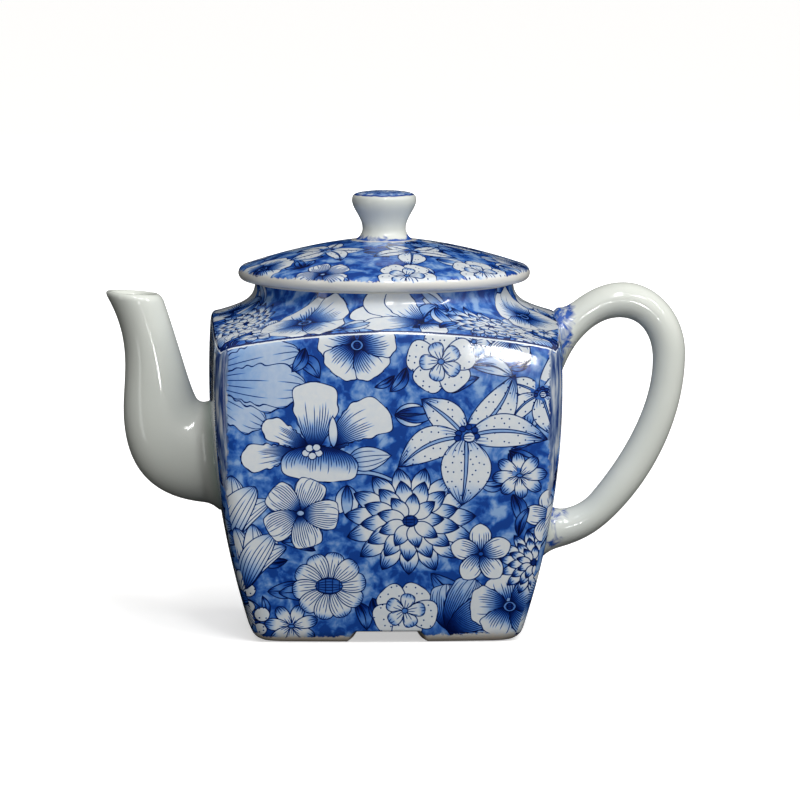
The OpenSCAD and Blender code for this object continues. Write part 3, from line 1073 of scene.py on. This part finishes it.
def draw_petal(g, layer, point, under, dots, mottle):
    """Draws each face's petal of one layer over the tone under it."""
    along, across, size, form, tones, hatch, extras = (
        g.attribute(f"{vector}_{layer}") for vector in VECTORS)
    x, y = g.dot(point, along), g.dot(point, across)
    length, width, bend = g.split(size)
    swell, closing, ruffle = g.split(form)
    inner = g.value(g.add("Clamp", {"Value": x, "Min": 0.002, "Max": 0.998}))
    rest = 1.0 - inner
    y = inner * rest * bend + y
    w = width * inner ** swell * rest ** closing
    slope = (swell / inner - closing / rest) * w
    grade = g.lower(g.math("SQRT", slope * slope + 1.0), STEEPEST)
    turn = g.math("ARCTAN2", y, x - 0.45)
    wave = g.math("COSINE", turn * RUFFLE_WAVES)
    side = (wave * (ruffle * inner) + (w - abs(y)) * length) / grade
    end = g.lower(x, 1.0 - x)
    depth = g.lower(side, end * length + (ruffle * 0.5 + 0.1))

    lines, base_reach, tip_reach = g.split(hatch)
    share = y / g.higher(w, 0.0001) * lines + 0.5
    spacing = w * length / g.higher(lines, 0.01)
    line = g.within(g.math("PINGPONG", share, 0.5) * spacing, HATCH_HALF)
    each = g.add("TexWhiteNoise", {"W": g.math("ROUND", share)}, noise_dimensions="1D")
    uneven = g.value(each, "Value") * -0.45 + 1.0
    reach = g.higher(base_reach * uneven - x, tip_reach * uneven + (x - 1.0))
    line = line * (reach * 9.0).clamped()

    dotted, base_shade, bars = g.split(extras)
    bar = g.math("PINGPONG", x * bars + 0.5, 0.5) * length / g.higher(bars, 0.01)
    ink = g.higher(line, g.within(bar, HATCH_HALF))
    ink = g.higher(ink, dotted * dots)
    ink = g.higher(ink, g.within(depth, OUTLINE_WIDTH))

    fill, base_tone, tip_tone = g.split(tones)
    near_base = (1.0 - x / base_shade).clamped()
    near_tip = (1.0 - rest / (tip_reach + 0.05)).clamped()
    tone = near_tip * tip_tone + (near_base * base_tone + fill) + mottle
    tone = g.blend(ink, g.lower(tone, DARKEST_WASH), 1.0)
    return g.blend((depth * EDGE_STEEPNESS + 0.5).clamped(), under, tone)


# Tone 0 is porcelain seen through the glaze, and 1 is the ink of the drawn lines
TONE_COLOURS = [
    (0.0, (219, 223, 225)),
    (0.15, (200, 211, 223)),
    (0.4, (138, 171, 214)),
    (0.6, (72, 120, 192)),
    (0.75, (32, 82, 168)),
    (0.88, (12, 44, 120)),
    (1.0, (2, 12, 56)),
]
# Grey-blue streaks on the bare glaze at the corners: painted dark reflection and shade, with some blue
# smear
SMEAR_AND_REFLECTION_COLOURS = [(0.34, (182, 188, 196)), (0.48, (106, 126, 160)), (0.62, (34, 58, 116))]
SPONGE_COLOURS = [(0.35, (226, 230, 230)), (0.48, (120, 155, 208)), (0.62, (36, 76, 160))]
BARE_GLAZE = (222, 221, 216)
BISCUIT = (238, 226, 212)
DOT_SPACING = 2.0
DOT_RADIUS = 0.2
RIDGE_INK_HALF = 0.3
# A painted highlight: a white line this far under the ridge, and half this wide
HIGHLIGHT_LINE_DROP = 0.55
HIGHLIGHT_LINE_HALF = 0.22


def print_material():
    """Cobalt flowers on a mottled cobalt ground, under the glaze.

    The mesh says where the print ends: its "borders" attribute holds the distance inside the
    print, the distance below the ridge, and the distance above the unglazed foot."""
    g = Graph("printed_porcelain")
    point = g.attribute("print_point")
    broad = g.noise(240, 3, 0.5, 0.4)
    fine = g.noise(700, 2, 0.5, 0.4)
    patches = broad * 0.82 + fine * 0.18
    tone = g.lower(g.higher(patches * 2.1 + -0.4, 0.4), 0.82)
    mottle = fine * 0.16 + -0.08
    cells = g.add("TexVoronoi", {"Vector": point, "Scale": 1 / DOT_SPACING, "Randomness": 0.7},
                  voronoi_dimensions="2D")
    dots = g.within(g.value(cells, "Distance") * DOT_SPACING, DOT_RADIUS)
    for layer in range(LAYERS - 1, -1, -1):
        tone = draw_petal(g, layer, point, tone, dots, mottle)

    inside, below_ridge, above_foot = g.split(g.attribute("borders"))
    ragged = g.noise(700, 3, 0.7)
    printed = ((inside + (ragged * 2.4 + -1.2)) * 3.0).clamped()
    ridge = below_ridge + (ragged * 0.3 + -0.15)
    ridge_ink = g.within(abs(ridge), RIDGE_INK_HALF)
    # Paints the ridge's highlight as a white line just under the ridge
    tone = g.blend(g.within(abs(ridge - HIGHLIGHT_LINE_DROP), HIGHLIGHT_LINE_HALF), tone, 0.0)
    tone = g.blend(ridge_ink, tone, 0.97)
    level = g.split(g.place)[2] * (1 / MM)
    # Higher up the corners, the bare glaze turns to vertical grey-blue streaks: painted dark
    # reflection and shade, with some smeared blue
    corner = g.lower(level * 0.03 + -0.4, level * -0.4 + 0.4 * RIDGE_LEVEL)
    corner = (corner * (broad * 0.8 + 0.6)).clamped()
    upright = g.add("VectorMath", {0: g.place, 1: (1, 1, 0.12)}, operation="MULTIPLY")
    smear_and_reflection = g.ramp(g.noise(800, 3, 0.6, vector=upright.outputs[0]), SMEAR_AND_REFLECTION_COLOURS)
    bare = g.colours(corner, BARE_GLAZE, smear_and_reflection)
    colour = g.colours(g.higher(printed, ridge_ink), bare, g.ramp(tone, TONE_COLOURS))
    glazed = ((above_foot + (ragged * 2.0 + -1.0)) * 2.5).clamped()
    return g.glaze(g.colours(glazed, BISCUIT, colour))


def plain_material():
    """White porcelain under clear glaze."""
    g = Graph("plain_porcelain")
    return g.glaze(g.colours(g.noise(60), (214, 216, 212), (226, 228, 224)))


def biscuit_material():
    """The unglazed foot."""
    g = Graph("bare_foot")
    colour = g.colours(g.noise(300), (232, 216, 200), (246, 236, 224))
    return g.surface(colour, 0.75, g.noise(2500, 2), 0.4, 0.0001)


def blue_runs(g, near, colour):
    """The print's blue, run into a glaze. near is 1 at the print and 0 where the runs end."""
    smear = g.noise(240, 3, 0.6, 0.8)
    run = ((smear * 4.0 + (near + -2.45)) * 1.6).clamped()
    return g.colours(run * (near * 4.0).clamped(), colour, (40, 82, 162))


def celadon_material(name, blue_reach):
    """Pale grey-green glaze. Near the body it pools greener, and the print's blue runs into it.

    The mesh's "root_gap" attribute holds the distance from the body in millimetres."""
    pool_reach = 2.2
    g = Graph(name)
    gap = g.split(g.attribute("root_gap"))[0]
    colour = g.colours(g.noise(45), (205, 210, 203), (220, 223, 216))
    pool = (1.0 - gap / pool_reach).clamped()
    colour = g.colours(pool * 0.6, colour, (150, 172, 160))
    if blue_reach:
        colour = blue_runs(g, (1.0 - gap / blue_reach).clamped(), colour)
    return g.glaze(colour)


def knob_material():
    """Celadon with a blue sponged top. The lid's blue runs up its foot."""
    g = Graph("knob_glaze")
    reach = 1.6
    rim_drop = 0.95
    rim_half = 0.16
    level = g.split(g.place)[2]
    colour = g.colours(g.noise(60), (200, 205, 199), (216, 219, 213))
    near = (level * (-1 / (reach * MM)) + (lid_top(KNOB_BASE) / reach + 1)).clamped()
    colour = blue_runs(g, near, colour)
    height = level * (1 / MM) + -(KNOB_TOP - rim_drop)
    height = height + (g.noise(500, 2) * 0.4 + -0.2)
    blue = g.ramp(g.noise(330, 4, 0.65, 0.8), SPONGE_COLOURS)
    colour = g.colours((height * 6.0).clamped(), colour, blue)
    return g.glaze(g.colours(g.within(abs(height), rim_half), colour, (34, 66, 140)))


# ---- Pieces ----

# The order of a piece's materials
PRINTED_SLOT, PLAIN_SLOT, BARE_SLOT = 0, 1, 2


def face_distance(points, side):
    """How far points lie outside the body's face on one side, +1 for +X and -1 for -X."""
    reach = HALF_WIDTH - CORNER_RADIUS
    surface = half_at(points[..., 2]) - FACE_BOW * (points[..., 1] / reach) ** 2
    return side * points[..., 0] - surface


def flare(rings, side, amount, length, depth):
    """Spreads a tube where it meets the body, and keeps its end inside the wall."""
    gap = face_distance(rings, side)
    centre = rings.mean(1, keepdims=True)
    out = rings - centre
    out /= np.linalg.norm(out, axis=-1, keepdims=True)
    share = np.clip(1 - gap / length, 0, 1)
    rings = rings + out * (amount * share ** 2.4)[..., None]
    gap = face_distance(rings, side)
    rings[..., 0] -= side * np.minimum(gap + depth, 0)
    return rings


def oval(start, end, half_depth, inset, count):
    """An oval ring across the plane between two points [x, z]."""
    angle = np.arange(count) * 2 * math.pi / count
    middle, arm = (start + end) / 2, (end - start) / 2
    long = np.linalg.norm(arm)
    reach = arm * (long - inset) / long
    flat = middle + reach * np.cos(angle)[:, None]
    return np.stack([flat[:, 0], (half_depth - inset) * np.sin(angle), flat[:, 1]], -1)


def spout_chain(shares):
    rise = SPOUT_TOP - SPOUT_FOOT
    return [(-SPOUT_ROOT - (SPOUT_REACH - SPOUT_ROOT) * a, SPOUT_FOOT + rise * b)
            for a, b in shares]


def store_root_gap(obj, side):
    store_on_points(obj.data, "root_gap", face_distance(points_of(obj.data), side))


def make_spout():
    outer = spout_chain([(0, 0), (0.57, 0.01), (0.83, 0.16), (0.825, 0.455),
                         (0.82, 0.62), (0.74, 0.78), (1, 1)])
    inner = spout_chain([(0, 0.457), (0.07, 0.459), (0.13, 0.465), (0.17, 0.49),
                         (0.243, 0.563), (0.33, 0.753), (0.482, 0.983)])
    start = -0.1
    end = 2 - 0.05
    steps = np.concatenate([np.linspace(start, 0.6, 26), np.linspace(0.6, end, 40)[1:]])

    def section(s, inset):
        half = 6.6 + 4.4 * (1 - s / 2) ** 2 + 0.5 * (s / 2) ** 6
        return oval(chain_at(outer, s), chain_at(inner, s), half, inset, 48)

    outside = flare(np.array([section(s, 0) for s in steps]), -1, 2.0, 4.5, 1.8)
    lip = []
    for turn in range(20, 180, 20):
        a = math.radians(turn)
        inset = SPOUT_WALL / 2 * (1 - math.cos(a))
        lip.append(section(end + (2 - end) * math.sin(a), inset))
    inside = np.array([section(s, SPOUT_WALL) for s in steps[::-1]])
    gap = face_distance(inside, -1)
    inside[..., 0] += np.minimum(gap + 1.8, 0)
    rings = np.concatenate([outside, lip, inside])
    rows, columns, _ = rings.shape
    obj = add_object("spout_glazed", rings.reshape(-1, 3), ring_faces(rows, columns, wrap=True))
    store_root_gap(obj, -1)
    return obj


def make_handle():
    def chain(shares):
        return [(HANDLE_ROOT + (HANDLE_REACH - HANDLE_ROOT) * a,
                 HANDLE_FOOT + (HANDLE_TOP - HANDLE_FOOT) * b) for a, b in shares]

    outer = chain([(0, 0.852), (0.158, 0.93), (0.33, 1.003), (0.549, 1), (0.79, 0.997),
                   (1, 0.88), (1, 0.736), (1, 0.5), (0.77, 0.265), (0.445, 0.115),
                   (0.315, 0.055), (0.172, 0.015), (-0.144, -0.009)])
    inner = chain([(0, 0.607), (0.115, 0.729), (0.273, 0.869), (0.511, 0.869), (0.675, 0.869),
                   (0.759, 0.801), (0.759, 0.714), (0.759, 0.542), (0.546, 0.356),
                   (0.302, 0.212), (0.216, 0.165), (0.115, 0.148), (-0.144, 0.146)])
    rings = []
    for s in np.linspace(0, 4, 121):
        half = HANDLE_HALF_DEPTH + 1.6 * max(0, 1 - s) ** 2 + max(0, s - 3) ** 2
        rings.append(oval(chain_at(outer, s), chain_at(inner, s), half, 0, 32))
    rings = flare(np.array(rings), 1, 2.2, 5.5, 1.8)
    obj = capped_rings("handle_glazed", rings)
    store_root_gap(obj, 1)
    return obj


def lid_top(r):
    return MOUTH_LEVEL + LID_RISE - 0.06 * r - 0.004 * r * r


def make_lid():
    rim = LID_RADIUS - LID_ROUND
    hollow = FLANGE_RADIUS - FLANGE_WALL
    seat = lid_top(KNOB_BASE)
    under = [(r, lid_top(max(r, KNOB_BASE)) - LID_THICKNESS) for r in np.linspace(1, hollow, 12)]
    edge = [(rim + LID_ROUND * math.cos(a), MOUTH_LEVEL + LID_ROUND * (1 + math.sin(a)))
            for a in np.radians(np.linspace(-90, 78, 13))]
    flat = [(hollow + 0.4, MOUTH_LEVEL), (FLANGE_RADIUS + 1, MOUTH_LEVEL)]
    dome = [(r, lid_top(r)) for r in np.arange(rim, KNOB_BASE, -CELL)]
    crown = [(KNOB_BASE, seat), (1, seat)]
    return turned("lid_glazed", under + flat + edge + dome + crown, 192)


def finish_lid(obj, printed, plain):
    """Cuts the vent, then lays the print on the dome and leaves the rim and the underside bare."""
    obj.data.materials.append(printed)
    obj.data.materials.append(plain)
    drill(obj, (0, 2 * KNOB_BASE, MOUTH_LEVEL + LID_RISE - 3), (0, 0, 1), VENT_RADIUS, 6, 24)
    mesh = obj.data
    points = points_of(mesh)
    r = np.hypot(points[:, 0], points[:, 1])
    inside = np.minimum(points[:, 2] - (MOUTH_LEVEL + 1.35 * LID_ROUND), r - KNOB_BASE - 1.2)
    store_on_points(mesh, "borders", inside, FAR, points[:, 2] - MOUTH_LEVEL + 0.3)
    centres = centres_of(mesh)
    normals = np.array([p.normal for p in mesh.polygons])
    outside = (normals[:, 2] > 0.05) | (np.hypot(centres[:, 0], centres[:, 1]) > FLANGE_RADIUS + 4)
    slots = np.where(outside, PRINTED_SLOT, PLAIN_SLOT)
    mesh.polygons.foreach_set("material_index", slots.astype(np.int32))
    lay_print(obj, np.where(outside, 0, -1), [lid_print()], lambda p, _: p[:, :2])


def make_flange():
    inner, outer = FLANGE_RADIUS - FLANGE_WALL, FLANGE_RADIUS
    soft = 0.9
    angle = np.arange(144) * 2 * math.pi / 144
    middle = (MOUTH_LEVEL + FLANGE_BOTTOM) / 2
    profile = [(outer, MOUTH_LEVEL), (outer, middle)]
    for centre, start, end in ((outer - soft, 0, -90), (inner + soft, -90, -180)):
        for a in np.radians(np.linspace(start, end, 6)):
            profile.append((centre + soft * math.cos(a), FLANGE_BOTTOM + soft + soft * math.sin(a)))
    profile += [(inner, middle), (inner, MOUTH_LEVEL)]
    rings = np.array([[(r * math.cos(a), r * math.sin(a), z) for a in angle]
                      for r, z in profile[::-1]])
    rows, columns, _ = rings.shape
    return add_object("lid_flange_glazed", rings.reshape(-1, 3), ring_faces(rows, columns, wrap=True))


def make_knob():
    seat = lid_top(KNOB_BASE)
    height = KNOB_TOP - seat
    side = [(KNOB_BASE + 0.7, -0.03), (KNOB_WAIST + 0.8, 0.03), (KNOB_WAIST, 0.12),
            (KNOB_WAIST, 0.22), (KNOB_WAIST, 0.45), (KNOB_RADIUS, 0.62), (KNOB_RADIUS, 0.8),
            (KNOB_RADIUS, 0.96), (KNOB_RADIUS - 1.2, 0.97), (0, 1)]
    chain = [(r, seat + height * share) for r, share in side]
    profile = [chain_at(chain, s) for s in np.linspace(0, 3, 61)[:-1]]
    foot = [(1.0, seat - 0.6), (KNOB_BASE + 0.8, seat - 0.6)]
    return turned("knob_glazed", foot + [tuple(p) for p in profile] + [(0.3, KNOB_TOP)], 96)


def quarter_turn(points, side):
    """Points as seen from one side: how far out, and how far to its right."""
    a = -side * math.pi / 2
    out = points[:, 0] * np.cos(a) - points[:, 1] * np.sin(a)
    right = points[:, 0] * np.sin(a) + points[:, 1] * np.cos(a)
    return out, right


def locate_on_body(points, panel):
    """A point's place in its panel. Panels 0 to 3 are faces, and 4 to 7 shoulder quarters."""
    out, right = quarter_turn(points, panel % 4)
    if panel < 4:
        return np.stack([right, points[:, 2]], -1)
    shoulder = Shoulder(0, NECK_RADIUS)
    r = np.hypot(out, right)
    ridge = half_at(RIDGE_LEVEL) * r / out
    from_ridge = shoulder.length_at(ridge) - shoulder.length_at(r)
    return np.stack([right, RIDGE_LEVEL + from_ridge], -1)


def make_pot(printed, plain, biscuit):
    rings, zones = pot_rings()
    obj = capped_rings("pot_glazed", rings)
    for material in (printed, plain, biscuit):
        obj.data.materials.append(material)
    slot_of = {"under": BARE_SLOT, "outside": PRINTED_SLOT, "inside": PLAIN_SLOT}
    slots = np.repeat([slot_of[zone] for zone in zones[1:]], COLUMNS)
    slots = np.concatenate([slots, np.tile([BARE_SLOT, PLAIN_SLOT], COLUMNS)])
    obj.data.polygons.foreach_set("material_index", slots.astype(np.int32))
    drill(obj, (-HALF_WIDTH + 2, 0, STRAINER_LEVEL), (1, 0, 0), STRAINER_RADIUS, 6, 48)

    mesh = obj.data
    points = points_of(mesh)
    gap = ridge_gap(points)
    line = np.maximum(gap, -corner_gap(points))
    store_on_points(mesh, "borders", print_margin(points, gap), line, points[:, 2] - BARE_FOOT)
    centres = centres_of(mesh)
    slots = np.array([p.material_index for p in mesh.polygons])
    from_hole = np.hypot(centres[:, 1], centres[:, 2] - STRAINER_LEVEL) - STRAINER_RADIUS
    slots[(centres[:, 0] < 0) & (from_hole < 0.3) & (side_gap(centres) < -0.2)] = PLAIN_SLOT
    mesh.polygons.foreach_set("material_index", slots.astype(np.int32))
    sides = nearest_side(centres)
    panels = np.where(ridge_gap(centres) > 0, sides, sides + 4)
    panels[slots != PRINTED_SLOT] = -1
    front, side, shoulder = front_print(), side_print(), shoulder_print()
    lay_print(obj, panels, [side, front, side, front] + [shoulder] * 4, locate_on_body)
    return obj


def nearest_side(points):
    """Which face of the body each point is on: 0 for +X, then round by way of +Y."""
    turn = np.arctan2(points[:, 1], points[:, 0]) / (math.pi / 2)
    return np.round(turn).astype(int) % 4


def side_gap(points):
    """How far points lie outside the face of the body that they are nearest to."""
    across = np.minimum(np.abs(points[:, 0]), np.abs(points[:, 1]))
    out = np.maximum(np.abs(points[:, 0]), np.abs(points[:, 1]))
    reach = HALF_WIDTH - CORNER_RADIUS
    return out - (half_at(points[:, 2]) - FACE_BOW * np.minimum(across / reach, 1) ** 2)


def ridge_gap(points):
    """How far each point of the outside lies below the ridge. On the shoulder it is negative."""
    shoulder = Shoulder(0, NECK_RADIUS)
    under = shoulder.level(np.hypot(points[:, 0], points[:, 1])) - points[:, 2]
    return under + side_gap(points)


def print_margin(points, gap):
    """How far inside the print each point of the body is, in millimetres.

    Each face's print is a flat sheet. It stops short of the corners higher up, where the body
    is wider than the sheet, and stays clear of the spout and the handle."""
    x, z = points[:, 0], points[:, 2]
    _, right = quarter_turn(points, nearest_side(points))
    left_sheet, right_sheet = 40.9, 40.8
    lowest, tilt = 1.7, 0.8
    margin = np.where(gap > 0, np.minimum(right + left_sheet, right_sheet - right), FAR)
    margin = np.minimum(margin, z - lowest - tilt * right / HALF_WIDTH)
    roots = [(-1, 45, 14, 12), (1, 69, 9.5, 7), (1, 24, 6, 6.4)]
    for side, level, half_height, half_width in roots:
        around = np.hypot((z - level) / half_height, points[:, 1] / half_width)
        distance = (around - 1) * half_width - 0.5
        margin = np.where(side * x > np.abs(points[:, 1]), np.minimum(margin, distance), margin)
    return margin


def corner_gap(points):
    """How far each point of the shoulder is from the nearer corner line, near the ridge."""
    x, y = np.abs(points[:, 0]), np.abs(points[:, 1])
    fade = np.maximum(36 - np.maximum(x, y), 0)
    return np.abs(x - y) / math.sqrt(2) + fade


def main():
    bpy.context.scene.view_settings.view_transform = "Standard"
    make_camera()
    make_floor()
    make_backdrop()
    make_lights()
    printed, plain, biscuit = print_material(), plain_material(), biscuit_material()

    pot = make_pot(printed, plain, biscuit)
    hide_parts("body_shell", "floor_slab", "corner_feet", "neck_collar")
    spout = make_spout()
    spout.data.materials.append(celadon_material("spout_glaze", 0))
    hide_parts("spout")
    handle = make_handle()
    handle.data.materials.append(celadon_material("handle_glaze", 6.0))
    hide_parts("handle")
    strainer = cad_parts["spout_strainer"]
    strainer.data.materials.clear()
    strainer.data.materials.append(plain)

    lid = make_lid()
    finish_lid(lid, printed, plain)
    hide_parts("lid_cap")
    flange = make_flange()
    flange.data.materials.append(plain)
    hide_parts("lid_flange")
    knob = make_knob()
    knob.data.materials.append(knob_material())
    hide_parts("knob")

    for piece, body, slot in ((pot, "pot", "printed_porcelain"), (spout, "pot", "celadon_glaze"),
                              (handle, "pot", "celadon_glaze"), (lid, "lid", "printed_porcelain"),
                              (flange, "lid", "plain_porcelain"), (knob, "lid", "celadon_glaze")):
        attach(piece, body)


main()
